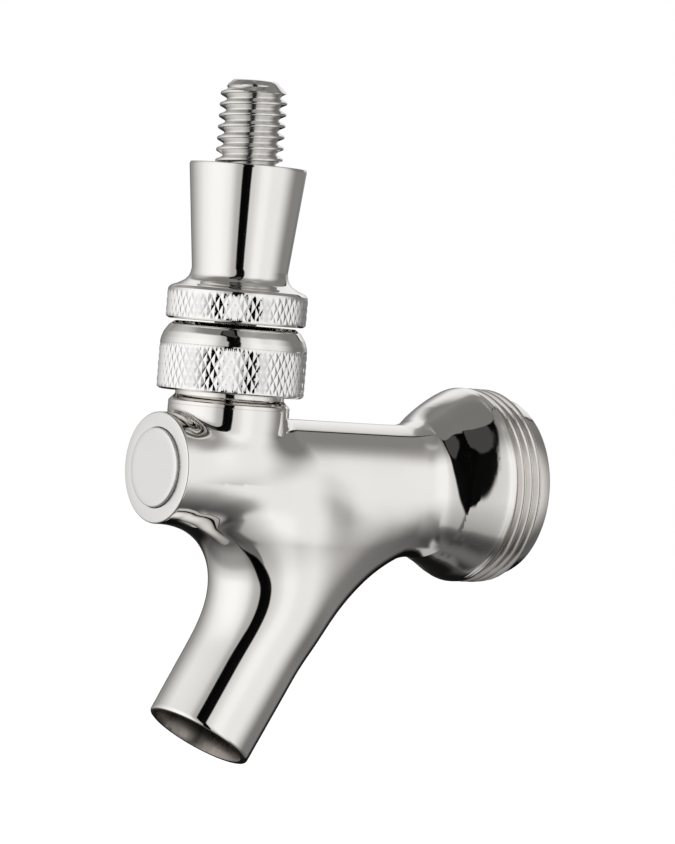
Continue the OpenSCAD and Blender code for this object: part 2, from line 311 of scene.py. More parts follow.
class Turned:
    """Skins a turned shape row by row, at given angles round +Z. Millimetres."""

    def __init__(self, theta):
        self.t = np.asarray(theta, float)
        self.n = len(self.t)
        self.c, self.s = np.cos(self.t), np.sin(self.t)
        self.v, self.f, self.m = [], [], []
        self.count = 0
        self.first = self.last = None

    def ring(self, r, z):
        r = np.broadcast_to(np.asarray(r, float), self.t.shape)
        z = np.broadcast_to(np.asarray(z, float), self.t.shape)
        self.v.append(np.stack([r * self.c, r * self.s, z], -1))
        self.count += self.n
        return np.arange(self.count - self.n, self.count)

    def quads(self, q, mat):
        self.f.append(q)
        self.m.append(np.full(len(q), mat))

    def join(self, a, b, mat):
        self.quads(np.stack([a, np.roll(a, -1), np.roll(b, -1), b], 1), mat)

    def row(self, r, z, mat=0):
        ids = self.ring(r, z)
        if self.last is None:
            self.first = ids
        else:
            self.join(self.last, ids, mat)
        self.last = ids

    def rows(self, pts, mat=0):
        for r, z in pts:
            self.row(r, z, mat)
        return self

    def knurl(self, z0, steps, crest, count, tall, depth, fade, mat=0):
        """Diamond knurl from z0 up, eight rows to a diamond; crest is the radius over the points. Needs 8 * count columns."""
        dz = tall / 8
        z1 = z0 + steps * dz
        hp = None
        for j in range(steps + 1):
            z = z0 + j * dz
            rim = min((z - z0) / fade, (z1 - z) / fade, 1.0)
            h = knurl_height(self.t, z - z0, count, tall)
            ids = self.ring(crest - depth + depth * h * (0.15 + 0.85 * rim) + depth * 0.5 * (1 - rim), z)
            if hp is None:
                self.join(self.last, ids, mat)
            else:
                a, a2, b2, b = self.last, np.roll(self.last, -1), np.roll(ids, -1), ids
                ha, ha2, hb2, hb = hp, np.roll(hp, -1), np.roll(h, -1), h
                main = (ha + hb2) < (ha2 + hb)
                self.quads(np.stack([a, a2, np.where(main, b2, b), np.where(main, b2, b)], 1), mat)
                self.quads(np.stack([np.where(main, a, a2), b2, b, b], 1), mat)
            self.last, hp = ids, h

    def thread(self, z0, z1, pitch, prof, start=0.0, limit=None, mat=0):
        """A right-hand thread from z0 to z1. prof is [phase, radius] over one pitch; limit(r, z, theta) trims its ends."""
        ph = np.array([p for p, _ in prof] + [1.0])
        rr = np.array([r for _, r in prof] + [prof[0][1]], float)
        k = len(prof)
        lead = start + self.t / TAU
        turns = int(math.ceil((z1 - z0) / pitch)) + 3
        s = (np.arange(-3, turns)[:, None] + ph[None, :-1]).reshape(-1)
        z = z0 + (s[None, :] + lead[:, None]) * pitch
        r = np.tile(rr[:-1], (self.n, turns + 3))
        r = np.where(z < z0, np.interp((-lead) % 1.0, ph, rr)[:, None], r)
        r = np.where(z > z1, np.interp(((z1 - z0) / pitch - lead) % 1.0, ph, rr)[:, None], r)
        z = np.clip(z, z0, z1)
        if limit is not None:
            r = limit(r, z, self.t[:, None])
        ids = np.stack([self.ring(r[:, j], z[:, j]) for j in range(r.shape[1])], 1)
        self.join(self.last, ids[:, 0], mat)
        self.quads(np.stack([ids[:-1, :-1], ids[1:, :-1], ids[1:, 1:], ids[:-1, 1:]], -1).reshape(-1, 4), mat)
        e = ids.shape[1] - 1 - k
        self.quads(np.stack([ids[-1, :e], ids[0, k:k + e], ids[0, k + 1:k + e + 1], ids[-1, 1:e + 1]], -1), mat)
        self.last = ids[:, -1]

    def cap(self, which="last", mat=0, z=None):
        ring = self.last if which == "last" else self.first
        z = self.v[-1][0, 2] if z is None else z
        self.v.append(np.array([[0.0, 0.0, z]]))
        c = np.full(self.n, self.count)
        self.count += 1
        self.quads(np.stack([ring, np.roll(ring, -1), c, c], 1), mat)

    def close(self, mat=0):
        self.join(self.last, self.first, mat)
        return self

    def arrays(self):
        return np.concatenate(self.v), np.concatenate(self.f), np.concatenate(self.m)


def to_bmesh(parts, weld=2e-3):
    """One bmesh from several (verts, faces, mats, matrix or None). A repeated corner makes a triangle."""
    bm = bmesh.new()
    for verts, faces, mats, place in parts:
        if place is not None:
            a = np.array(place)
            verts = verts @ a[:3, :3].T + a[:3, 3]
        bv = [bm.verts.new(p) for p in verts.tolist()]
        for q, mi in zip(faces.tolist(), mats.tolist()):
            ids = []
            for i in q:
                if not ids or ids[-1] != i:
                    ids.append(i)
            if len(ids) > 1 and ids[0] == ids[-1]:
                ids.pop()
            if len(ids) > 2:
                try:
                    bm.faces.new([bv[i] for i in ids]).material_index = mi
                except ValueError:
                    pass
    bmesh.ops.remove_doubles(bm, verts=bm.verts, dist=weld)
    bmesh.ops.dissolve_degenerate(bm, dist=1e-4, edges=bm.edges)
    loose = [v for v in bm.verts if not v.link_faces]
    if loose:
        bmesh.ops.delete(bm, geom=loose, context="VERTS")
    bmesh.ops.recalc_face_normals(bm, faces=bm.faces)
    return bm


def to_object(name, bm, materials):
    open_edges = sum(1 for e in bm.edges if len(e.link_faces) != 2)
    print("mesh", name, len(bm.verts), "verts", len(bm.faces), "faces", open_edges, "open or shared edges")
    mesh = bpy.data.meshes.new(name)
    bm.to_mesh(mesh)
    bm.free()
    obj = bpy.data.objects.new(name, mesh)
    bpy.context.scene.collection.objects.link(obj)
    for mat in materials:
        mesh.materials.append(mat)
    return obj


def settle(obj, place=AT_LEVER, sharp=32.0, smooth_slot=None, fn=None):
    """Shades the mesh and moves it from millimetres into the row frame. Faces of smooth_slot take their normals from fn."""
    mesh = obj.data
    mesh.polygons.foreach_set("use_smooth", np.ones(len(mesh.polygons), bool))
    mesh.set_sharp_from_angle(angle=math.radians(sharp))
    mesh.update()
    if fn is not None:
        n = len(mesh.loops)
        cn = np.empty(n * 3, np.float32)
        mesh.corner_normals.foreach_get("vector", cn)
        cn = cn.reshape(-1, 3)
        vi = np.empty(n, np.int32)
        mesh.loops.foreach_get("vertex_index", vi)
        co = np.empty(len(mesh.vertices) * 3, np.float32)
        mesh.vertices.foreach_get("co", co)
        co = co.reshape(-1, 3).astype(float)
        g = gradient(fn, co)
        g /= np.maximum(np.linalg.norm(g, axis=1, keepdims=True), 1e-9)
        near = np.abs(fn(co)) < 0.03
        count = np.empty(len(mesh.polygons), np.int32)
        slot = np.empty(len(mesh.polygons), np.int32)
        mesh.polygons.foreach_get("loop_total", count)
        mesh.polygons.foreach_get("material_index", slot)
        use = np.repeat(slot == smooth_slot, count) & near[vi]
        cn[use] = g[vi[use]]
        mesh.normals_split_custom_set([tuple(x) for x in cn.tolist()])
    mesh.transform(place)
    mesh.update()
    return obj


def boolean(obj, cutter, op="DIFFERENCE"):
    mod = obj.modifiers.new("cut", "BOOLEAN")
    mod.operation = op
    mod.object = cutter
    mod.solver = "MANIFOLD"
    dg = bpy.context.evaluated_depsgraph_get()
    dg.update()
    new = bpy.data.meshes.new_from_object(obj.evaluated_get(dg), preserve_all_data_layers=True, depsgraph=dg)
    print("boolean", obj.name, len(obj.data.polygons), "->", len(new.polygons))
    obj.modifiers.clear()
    old = obj.data
    obj.data = new
    bpy.data.meshes.remove(old)
    bpy.data.objects.remove(cutter)


def sweep(points, tangents, radii, n, mat=0):
    """A closed tube along points in the plane x = 0, as (verts, faces, mats)."""
    t = Turned(angles(n))
    for p, d, r in zip(points, tangents, radii):
        side = np.cross(d, (1.0, 0.0, 0.0))
        t.row(1.0, 0.0, mat)
        t.v[-1] = np.asarray(p) + r * (t.c[:, None] * np.array((1.0, 0, 0)) + t.s[:, None] * side)
    for which, p in (("first", points[0]), ("last", points[-1])):
        t.cap(which, mat)
        t.v[-1] = np.asarray(p, float)[None, :]
    return t.arrays()

# ---------------------------------------------------------------- materials
class Nodes:
    """A small helper that adds nodes and links to a material or world tree."""

    def __init__(self, tree):
        self.t = tree
        tree.nodes.clear()

    def add(self, kind, props=None, **inputs):
        n = self.t.nodes.new(kind)
        for k, v in (props or {}).items():
            setattr(n, k, v)
        for k, v in inputs.items():
            key = int(k[1:]) if k[0] == "i" and k[1:].isdigit() else k.replace("_", " ")
            sock = n.inputs[key]
            if isinstance(v, bpy.types.NodeSocket):
                self.t.links.new(v, sock)
            else:
                sock.default_value = v
        return n

    def math(self, op, a, b=0.0, c=0.0, clamp=False):
        n = self.add("ShaderNodeMath", {"operation": op, "use_clamp": clamp}, i0=a, i1=b)
        if op in ("MULTIPLY_ADD", "SMOOTH_MIN", "SMOOTH_MAX"):
            if isinstance(c, bpy.types.NodeSocket):
                self.t.links.new(c, n.inputs[2])
            else:
                n.inputs[2].default_value = c
        return n.outputs[0]

    def remap(self, v, a, b, c, d, smooth=False):
        n = self.add("ShaderNodeMapRange", {"interpolation_type": "SMOOTHSTEP" if smooth else "LINEAR"},
                     Value=v, From_Min=a, From_Max=b, To_Min=c, To_Max=d)
        return n.outputs[0]

    def mix(self, f, a, b):
        n = self.add("ShaderNodeMix", {"data_type": "RGBA"}, i0=f, i6=a, i7=b)
        return n.outputs[2]


def metal(name, color, rough, spread, tint=0.03, scratch=0.0, rings=None, grain=None, spots=0.0):
    """A metal: colour and gloss vary a little from place to place, with fine wear in the bump."""
    mat = bpy.data.materials.new(name)
    mat.use_nodes = True
    n = Nodes(mat.node_tree)
    out = n.add("ShaderNodeOutputMaterial")
    co = n.add("ShaderNodeTexCoord").outputs["Object"]
    soft = n.add("ShaderNodeTexNoise", None, Vector=co, Scale=140.0, Detail=3.0, Roughness=0.55).outputs["Fac"]
    fine = n.add("ShaderNodeTexNoise", None, Vector=co, Scale=1900.0, Detail=4.0, Roughness=0.7).outputs["Fac"]
    dark = tuple(c * (1 - 2 * tint) for c in color)
    col = n.mix(n.remap(soft, 0.3, 0.7, 0.0, 1.0), (*dark, 1), (*color, 1))
    r = n.math("ADD", n.remap(soft, 0.3, 0.7, rough - spread, rough + spread), n.remap(fine, 0.3, 0.7, -spread * 0.4, spread * 0.4))
    height = n.math("MULTIPLY", fine, scratch)
    if rings is not None:
        # tool marks: fine rings round an axis, through a point in the row frame
        (px, py, pz), axis, pitch, amount = rings
        sep = n.add("ShaderNodeSeparateXYZ", None, Vector=co)
        if axis == "Y":
            u, w = n.math("SUBTRACT", sep.outputs[0], px), n.math("SUBTRACT", sep.outputs[2], pz)
        else:
            u, w = n.math("SUBTRACT", sep.outputs[0], px), n.math("SUBTRACT", sep.outputs[1], py)
        rad = n.math("SQRT", n.math("ADD", n.math("MULTIPLY", u, u), n.math("MULTIPLY", w, w)))
        wob = n.add("ShaderNodeTexNoise", None, Vector=co, Scale=60.0, Detail=2.0).outputs["Fac"]
        wave = n.math("SINE", n.math("MULTIPLY_ADD", rad, TAU / pitch, n.math("MULTIPLY", wob, 1.5)))
        thin = n.add("ShaderNodeTexNoise", {"noise_dimensions": "1D"}, W=n.math("MULTIPLY", rad, 1.0 / pitch), Scale=1.0, Detail=3.0).outputs["Fac"]
        height = n.math("ADD", height, n.math("MULTIPLY", n.math("ADD", n.math("MULTIPLY", wave, 0.35), thin), amount))
        r = n.math("ADD", r, n.remap(thin, 0.35, 0.65, -spread, spread))
    if grain is not None:
        # brushing: noise stretched along one axis
        scale, amount = grain
        st = n.add("ShaderNodeMapping", None, Vector=co, Scale=scale).outputs[0]
        g = n.add("ShaderNodeTexNoise", None, Vector=st, Scale=1.0, Detail=5.0, Roughness=0.65).outputs["Fac"]
        height = n.math("ADD", height, n.math("MULTIPLY", g, amount))
        r = n.math("ADD", r, n.remap(g, 0.3, 0.7, -spread, spread))
        col = n.mix(n.remap(g, 0.35, 0.7, 0.0, 0.5), col, (*dark, 1))
    if spots:
        v = n.add("ShaderNodeTexVoronoi", None, Vector=co, Scale=260.0).outputs["Distance"]
        r = n.math("ADD", r, n.remap(v, 0.02, 0.09, spots, 0.0))
    bump = n.add("ShaderNodeBump", None, Strength=1.0, Distance=1.0, Height=height)
    b = n.add("ShaderNodeBsdfPrincipled", None, Base_Color=col, Metallic=1.0, Roughness=n.math("MAXIMUM", r, 0.02), Normal=bump.outputs[0])
    n.t.links.new(b.outputs[0], out.inputs[0])
    return mat


def plastic(name, color, rough, bump=2e-6, deep=0.2):
    mat = bpy.data.materials.new(name)
    mat.use_nodes = True
    n = Nodes(mat.node_tree)
    out = n.add("ShaderNodeOutputMaterial")
    co = n.add("ShaderNodeTexCoord").outputs["Object"]
    soft = n.add("ShaderNodeTexNoise", None, Vector=co, Scale=260.0, Detail=3.0).outputs["Fac"]
    fine = n.add("ShaderNodeTexNoise", None, Vector=co, Scale=2600.0, Detail=3.0, Roughness=0.7).outputs["Fac"]
    col = n.mix(n.remap(soft, 0.3, 0.7, 0.0, 1.0), (*[c * (1 - deep) for c in color], 1), (*color, 1))
    r = n.remap(fine, 0.3, 0.7, rough - 0.07, rough + 0.07)
    bn = n.add("ShaderNodeBump", None, Strength=1.0, Distance=1.0, Height=n.math("MULTIPLY", fine, bump))
    b = n.add("ShaderNodeBsdfPrincipled", None, Base_Color=col, Roughness=r, Normal=bn.outputs[0])
    n.t.links.new(b.outputs[0], out.inputs[0])
    return mat


CHROME = (0.845, 0.825, 0.80)
chrome_cast = metal("chrome_cast", CHROME, 0.045, 0.015, 0.012, scratch=2.0e-8)
chrome_turned = metal("chrome_turned", CHROME, 0.05, 0.015, 0.012, scratch=2.0e-8)
chrome_knurl = metal("chrome_knurl", (0.87, 0.86, 0.845), 0.05, 0.02, 0.01, scratch=2.0e-8)
face_satin = metal("boss_face_satin", (0.92, 0.90, 0.885), 0.33, 0.04, 0.02, scratch=2.0e-7, rings=((0, 0, 0), "Y", 0.00022, 5.0e-7))
disc_satin = metal("cap_disc_satin", (0.92, 0.905, 0.89), 0.36, 0.04, 0.02, scratch=3.0e-7, rings=((0, 0, 0), "Y", 0.00016, 4.0e-7))
thread_satin = metal("coupling_thread_satin", (0.80, 0.775, 0.745), 0.15, 0.05, 0.05, scratch=2.5e-7, rings=((0, 0, 0), "Y", 0.0003, 1.0e-7), spots=0.12)
# painted shade: the bores, passages, mouth rim and socket teeth are a dull machined metal, and their dark grey-brown
# base colour, far below the chrome, is painted shade for the inside of the passages
bore_painted_shade = metal("bore_machined_painted_shade", (0.36, 0.33, 0.295), 0.27, 0.07, 0.16, scratch=6.0e-7, grain=((5000.0, 500.0, 350.0), 5.0e-7))
stud_steel = metal("stud_steel", (0.80, 0.785, 0.765), 0.15, 0.04, 0.05, scratch=1.2e-7, rings=((0, LEVER_Y * 0.001, 0), "Z", 0.0002, 1.5e-8))
rod_steel = metal("rod_steel", (0.70, 0.69, 0.675), 0.22, 0.05, 0.04, scratch=3.0e-7, grain=((300.0, 300.0, 9000.0), 6.0e-7))
ball_steel = metal("ball_steel", (0.74, 0.73, 0.715), 0.09, 0.02, 0.02, scratch=1.0e-7)
valve_steel = metal("valve_steel", (0.68, 0.67, 0.655), 0.25, 0.05, 0.04, scratch=4.0e-7, rings=((0, 0, 0), "Y", 0.0003, 3.0e-7))
acetal = plastic("acetal", (0.80, 0.78, 0.72), 0.38, 1.2e-6, 0.04)
rubber = plastic("black_rubber", (0.028, 0.028, 0.030), 0.62, 3.0e-6, 0.3)
seat_rubber = plastic("seat_rubber", (0.045, 0.042, 0.040), 0.58, 2.5e-6, 0.3)

# ---------------------------------------------------------------- the casting
CAST, TURNED, FACE, CUT, BORE = range(5)      # material slots of the body


def cut_off(bm, co, no, near):
    """Removes what lies beyond the plane, among the vertices that near() picks, and rounds off close pairs on the cut."""
    vs = {v for v in bm.verts if near(v.co)}
    es = [e for e in bm.edges if e.verts[0] in vs and e.verts[1] in vs]
    fs = [f for f in bm.faces if all(v in vs for v in f.verts)]
    bmesh.ops.bisect_plane(bm, geom=list(vs) + es + fs, dist=1e-5, plane_co=co, plane_no=no, clear_outer=True)
    co, no = Vector(co), Vector(no).normalized()
    on = [v for v in bm.verts if abs((v.co - co).dot(no)) < 1e-3 and near(v.co) and v.is_boundary]
    bmesh.ops.remove_doubles(bm, verts=on, dist=0.11)
    return [v for v in bm.verts if abs((v.co - co).dot(no)) < 1e-3 and near(v.co) and v.is_boundary]


def true_circle(loop, frame4, r, z):
    """Puts the loop exactly on a circle and returns its sorted angles."""
    inv = frame4.inverted()
    out = []
    for v in loop:
        q = inv @ v.co
        a = math.atan2(q.y, q.x)
        v.co = frame4 @ Vector((r * math.cos(a), r * math.sin(a), z))
        out.append(a)
    return np.array(sorted(out))


def make_body(mats):
    v, q = surface_net(rough_sdf, body_sdf, (-15.75, -13.6, -44.8), (15.75, 43.2, 15.75), 0.42)
    bm = bmesh.new()
    bv = [bm.verts.new(p) for p in v.tolist()]
    for f in q.tolist():
        bm.faces.new([bv[i] for i in f])
    front = cut_off(bm, (0, FRONT + 0.45, 0), (0, -1, 0), lambda c: c.y < -8 and c.z > -12)
    t_front = true_circle(front, TO_Y, float(barrel_r(FRONT + 0.45)), FRONT + 0.45)
    rear = cut_off(bm, (0, FLARE_CUT, 0), (0, 1, 0), lambda c: c.y > 39.5)
    t_rear = true_circle(rear, TO_Y, float(barrel_r(FLARE_CUT)), FLARE_CUT)
    neck = cut_off(bm, (0, 0, NECK_CUT), (0, 0, 1), lambda c: c.z > 8.2 and math.hypot(c.x, c.y) < 9.6)
    t_neck = true_circle(neck, Matrix.Identity(4), 8.6, NECK_CUT)
    tip = cut_off(bm, tuple(TIP - 0.6 * SP_DIR), tuple(SP_DIR), lambda c: c.z < -24)
    tip_r = float(np.mean([math.hypot(*(TO_MOUTH.inverted() @ w.co)[:2]) for w in tip]))
    t_tip = true_circle(tip, TO_MOUTH, tip_r, -0.6)
    bm.verts.index_update()
    cast = (np.array([w.co[:] for w in bm.verts]),
            np.array([[w.index for w in f.verts] + [f.verts[0].index] * (4 - len(f.verts)) if len(f.verts) < 5
                      else [-1] * 4 for f in bm.faces]),
            np.zeros(len(bm.faces), int), None)
    odd = [[w.index for w in f.verts] for f in bm.faces if len(f.verts) > 4]
    bm.free()
    faces = [f for f in cast[1].tolist() if f[0] >= 0]
    for f in odd:
        faces += [[f[0], f[i], f[i + 1], f[i + 1]] for i in range(1, len(f) - 1)]
    cast = (cast[0], np.array(faces), np.zeros(len(faces), int), None)

    # front boss: a small rounded edge, then the turned face
    a = Turned(t_front)
    r = float(barrel_r(FRONT + 0.45))
    a.rows([(r, FRONT + 0.45), (r, FRONT + 0.3), (r - 0.03, FRONT + 0.17), (r - 0.09, FRONT + 0.07),
            (r - 0.17, FRONT + 0.015), (r - 0.25, FRONT)], TURNED)
    a.rows([(6.4, FRONT), (5.2, FRONT)], FACE)
    a.cap(mat=FACE)

    # neck: a scribed line, a chamfer into the relief groove, then the bonnet thread
    b = Turned(t_neck)
    b.rows([(8.6, NECK_CUT), (8.6, 9.02), (8.52, 9.09), (8.6, 9.16), (8.6, 9.5), (8.56, 9.6),
            (7.86, 10.32), (7.74, 10.45), (7.72, 10.6), (7.72, 11.1)], TURNED)
    b.thread(11.1, 16.1, 1.27, [(0.0, 7.72), (0.12, 7.72), (0.45, 8.46), (0.52, 8.5), (0.6, 8.46), (0.93, 7.72)],
             limit=lambda r, z, t: np.minimum(r, 7.75 + np.minimum(z - 11.1, 16.1 - z) * 1.1), mat=TURNED)
    b.rows([(7.72, 16.1), (7.6, 16.4), (6.0, 16.4)], TURNED)
    b.cap(mat=TURNED)

    # rear: rounded lip, coupling thread, plain band, end face
    c = Turned(t_rear)
    r = float(barrel_r(FLARE_CUT))
    c.rows([(r, FLARE_CUT), (14.2, FLARE_CUT + 0.2), (14.22, FLARE_CUT + 0.45)], TURNED)
    c.rows([(14.2, FLARE_CUT + 0.62), (14.0, FLARE_CUT + 0.84), (13.66, FLARE_CUT + 1.02)], CUT)
    z0, z1 = FLARE_CUT + 1.02, 46.92
    c.thread(z0, z1, 1.411, [(0.0, 13.36), (0.08, 13.36), (0.3, 13.92), (0.38, 14.1), (0.46, 14.19), (0.54, 14.2),
                             (0.62, 14.14), (0.7, 13.97), (0.92, 13.4)],
             start=0.30, limit=lambda r, z, t: np.minimum(r, np.maximum(13.1, 13.3 + (z1 - z) * 1.9)), mat=CUT)
    c.rows([(13.1, z1), (13.1, 48.8), (13.02, 48.98), (12.85, 49.08), (12.7, 49.1)], CUT)
    c.rows([(10.2, 49.1)], CUT)
    c.cap(mat=CUT)

    # mouth: a thin bevelled lip
    d = Turned(t_tip)
    d.rows([(tip_r, -0.6), (tip_r, -0.42), (tip_r - 0.04, -0.22), (tip_r - 0.14, -0.07), (tip_r - 0.3, 0.0)], TURNED)
    d.rows([(6.2, 0.0)], BORE)
    d.cap(mat=BORE)

    parts = [cast, a.arrays() + (TO_Y,), b.arrays() + (None,), c.arrays() + (TO_Y,), d.arrays() + (TO_MOUTH,)]
    obj = to_object("body_casting", to_bmesh(parts), mats)

    def cutter(arrays, place):
        return to_object("cutter", to_bmesh([arrays + (place,)]), mats)

    # shaft bore with the cap's counterbore, valve chamber, shank socket
    e = Turned(angles(160))
    e.rows([(5.75, FRONT - 1.0), (5.75, FRONT), (5.6, FRONT + 0.12), (5.6, -9.87), (5.5, -9.87), (5.5, 36.0), (8.4, 36.0),
            (8.5, 36.1), (8.5, 43.0), (11.2, 43.0), (11.2, 48.7), (11.55, 49.1), (11.55, 50.0)], BORE)
    e.cap("first", BORE, FRONT - 1.0)
    e.cap("last", BORE, 50.0)
    boolean(obj, cutter(e.arrays(), TO_Y))
    # ball bore and washer shoulder
    g = Turned(angles(120))
    g.rows([(5.3, 0.0), (5.3, 7.2), (6.75, 7.2), (6.75, 16.1), (7.0, 16.4), (7.0, 18.0)], BORE)
    g.cap("first", BORE, 0.0)
    g.cap("last", BORE, 18.0)
    boolean(obj, cutter(g.arrays(), None))
    # the finger's way down
    x, y0, y1, z0, z1 = 2.6, 0.0, 6.6, 3.0, 7.6
    slot_v = np.array([(sx * x, y, z) for z in (z0, z1) for sx, y in ((-1, y0), (1, y0), (1, y1), (-1, y1))], float)
    slot_f = np.array([(3, 2, 1, 0), (4, 5, 6, 7), (0, 1, 5, 4), (1, 2, 6, 5), (2, 3, 7, 6), (3, 0, 4, 7)])
    boolean(obj, cutter((slot_v, slot_f, np.full(6, BORE)), None))
    # spout passage
    pts, tan, rad = [np.array((0.0, ROOT_Y, -2.0))], [np.array((0, 0, -1.0))], [5.9]
    for k in range(13):
        w = LEAN * k / 12
        pts.append(np.array((0.0, BEND_C[0] + BEND_R * math.cos(w), BEND_C[1] - BEND_R * math.sin(w))))
        tan.append(np.array((0.0, -math.sin(w), -math.cos(w))))
        rad.append(5.9 + 0.3 * k / 12)
    for u, r in ((0.2, 6.3), (0.5, 6.5), (0.8, 6.6), (0.965, 6.6), (1.0, 6.85), (1.07, 7.35)):
        pts.append(np.array((0.0, *BEND_E)) + SP_DIR * STRAIGHT * u)
        tan.append(SP_DIR)
        rad.append(r)
    boolean(obj, cutter(sweep(pts, tan, rad, 96, BORE), None))
    # anti-rotation teeth
    tv, tf = [], []
    for k in range(24):
        w = k * TAU / 24
        cw, sw = math.cos(w), math.sin(w)
        base = len(tv)
        for y in (45.9, 48.8):
            for u, r in ((-0.55, 11.5), (0.55, 11.5), (0.42, 10.5), (-0.42, 10.5)):
                tv.append((r * sw + u * cw, y if r > 11 else y + (0.15 if y < 47 else -0.25), r * cw - u * sw))
        tf += [tuple(base + i for i in f) for f in ((0, 1, 2, 3), (7, 6, 5, 4), (0, 4, 5, 1), (1, 5, 6, 2), (2, 6, 7, 3), (3, 7, 4, 0))]
    boolean(obj, cutter((np.array(tv), np.array(tf), np.full(len(tf), BORE)), None), "UNION")
    settle(obj, fn=body_sdf, smooth_slot=CAST)
    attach(obj, "body")
    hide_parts("faucet_body")
    return obj


# ---------------------------------------------------------------- turned pieces
def piece(name, turned, mats, body, node, place=None, sharp=32.0):
    obj = to_object(name, to_bmesh([turned.arrays() + (None,)]), mats)
    settle(obj, AT_LEVER @ (place or Matrix.Identity(4)), sharp)
    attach(obj, body)
    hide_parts(node)
    return obj


def make_cap(mats):
    t = Turned(angles(144))
    f = FRONT - 0.55
    t.rows([(0.6, f), (2.6, f), (4.6, f), (5.36, f)], 0)
    t.rows([(5.45, f + 0.02), (5.54, f + 0.08), (5.575, f + 0.17), (5.58, f + 0.28), (5.58, FRONT + 1.3), (5.4, FRONT + 1.6)], 1)
    t.cap("first", 0, f)
    t.cap("last", 1, FRONT + 1.6)
    return piece("front_cap_disc", t, mats, "body", "front_cap", TO_Y)


NUT_KNURLS, RING_KNURLS = 55, 54


def make_nut(mats):
    t = Turned(angles(NUT_KNURLS * 8))
    t.rows([(9.75, 11.0), (9.95, 11.03), (10.22, 11.2)], 0)
    t.knurl(11.3, 23, 10.45, NUT_KNURLS, 2.15, 0.15, 0.25, 1)
    dome = round_corners([(10.33, 17.5), (10.42, 17.66), (10.3, 18.35), (10.02, 19.15), (9.3, 20.2), (8.5, 20.75), (7.85, 20.75),
                          (7.7, 20.6), (6.05, 17.3), (6.05, 17.05), (8.62, 17.05), (8.62, 11.5), (9.0, 11.0), (9.75, 11.0)],
                         [0, 0.12, 0.9, 1.2, 1.2, 0.25, 0.1, 0.1, 0.1, 0, 0, 0, 0.1, 0], 4)
    t.rows(dome[1:-1], 0)
    t.close(0)
    return piece("bonnet_nut_knurled", t, mats, "body", "bonnet_nut")


def make_ferrule(mats):
    t = Turned(angles(RING_KNURLS * 8))
    t.rows([(9.3, 21.0), (9.52, 21.03), (9.76, 21.22)], 0)
    t.knurl(21.3, 14, 9.95, RING_KNURLS, 2.15, 0.14, 0.25, 1)
    body = round_corners([(9.84, 25.1), (9.88, 25.3), (9.5, 25.72), (8.62, 26.06), (7.6, 26.6), (6.98, 27.35), (6.8, 28.4), (8.3, 42.9),
                          (8.2, 43.3), (5.0, 43.3), (4.86, 43.16), (4.86, 24.9), (5.2, 24.4), (8.9, 24.4), (8.9, 21.2), (9.1, 21.0), (9.3, 21.0)],
                         [0, 0.12, 0.5, 1.6, 1.6, 1.6, 1.6, 0.2, 0.2, 0.12, 0.1, 0, 0, 0.4, 0.1, 0.08, 0], 4)
    # long cone as several rows so its shading stays even
    out = []
    for p, q in zip(body[1:-1], body[2:]):
        out.append(p)
        if abs(q[1] - p[1]) > 4:
            out += [(p[0] + (q[0] - p[0]) * k / 6, p[1] + (q[1] - p[1]) * k / 6) for k in range(1, 6)]
    t.rows(out, 0)
    t.close(0)
    return piece("lever_ferrule_cone", t, mats, "ferrule", "lever_ferrule")


def make_lever(mats):
    t = Turned(angles(128))
    t.rows([(2.0 * math.sin(w), -2.0 * math.cos(w)) for w in np.linspace(0.12, 2.2, 12)], 0)
    t.rows([(1.6, 1.75), (1.6, 5.6), (1.75, 5.9)], 0)
    z = 12.3
    t.rows([(6.5 * math.sin(w), z - 6.5 * math.cos(w)) for w in np.linspace(0.3, 2.62, 40)], 1)
    t.rows([(3.1, 18.1), (3.0, 18.4), (3.0, 22.8), (3.55, 23.6), (3.75, 24.0)], 0)
    prof = [(0.0, 3.8), (0.1, 3.78), (0.2, 3.95), (0.42, 4.66), (0.48, 4.74), (0.56, 4.76), (0.64, 4.74), (0.7, 4.66), (0.92, 3.95)]

    def ends(r, z, th):
        return np.minimum(r, np.minimum(3.78 + (z - 24.0) * 0.9, 3.05 + (55.25 - z) * 1.0))

    t.thread(24.0, 54.85, 1.5875, prof, start=0.16, limit=ends, mat=2)
    t.rows([(3.45, 54.85), (3.2, 55.1), (3.02, 55.21), (2.85, 55.25), (1.2, 55.25)], 2)
    t.cap("first", 0, -2.0)
    t.cap("last", 2, 55.25)
    return piece("lever_rod_and_stud", t, mats, "lever", "lever")

# ---------------------------------------------------------------- assemble
make_body([chrome_cast, chrome_turned, face_satin, thread_satin, bore_painted_shade])
make_cap([disc_satin, disc_satin])
make_nut([chrome_turned, chrome_knurl])
make_ferrule([chrome_turned, chrome_knurl])
make_lever([rod_steel, ball_steel, stud_steel])
for node, mat in (("friction_washer", acetal), ("ball_washer", rubber), ("coupling_gasket", rubber), ("shaft_seat", seat_rubber),
                  ("valve_shaft", valve_steel), ("seat_washer", valve_steel), ("seat_nut", valve_steel)):
    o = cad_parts[node]
    while len(o.material_slots) < 1:
        o.data.materials.append(None)
    for s in o.material_slots:
        s.material = mat

# ---------------------------------------------------------------- studio
# A white floor and backdrop, a large soft box on the left, another on the right, and a narrow
# dark gap between them near the camera, as round a table for photographing polished metal.
floor_mat = bpy.data.materials.new("floor_white")
floor_mat.use_nodes = True
fl = Nodes(floor_mat.node_tree)
fo = fl.add("ShaderNodeOutputMaterial")
fco = fl.add("ShaderNodeTexCoord").outputs["Object"]
fno = fl.add("ShaderNodeTexNoise", None, Vector=fco, Scale=3.0, Detail=2.0).outputs["Fac"]
fcol = fl.mix(fl.remap(fno, 0.3, 0.7, 0.0, 1.0), (0.93, 0.93, 0.93, 1), (0.95, 0.95, 0.95, 1))
fb = fl.add("ShaderNodeBsdfPrincipled", None, Base_Color=fcol, Roughness=0.8, Emission_Color=(1, 1, 1, 1), Emission_Strength=0.62)
fl.t.links.new(fb.outputs[0], fo.inputs[0])
bm = bmesh.new()
prev = None
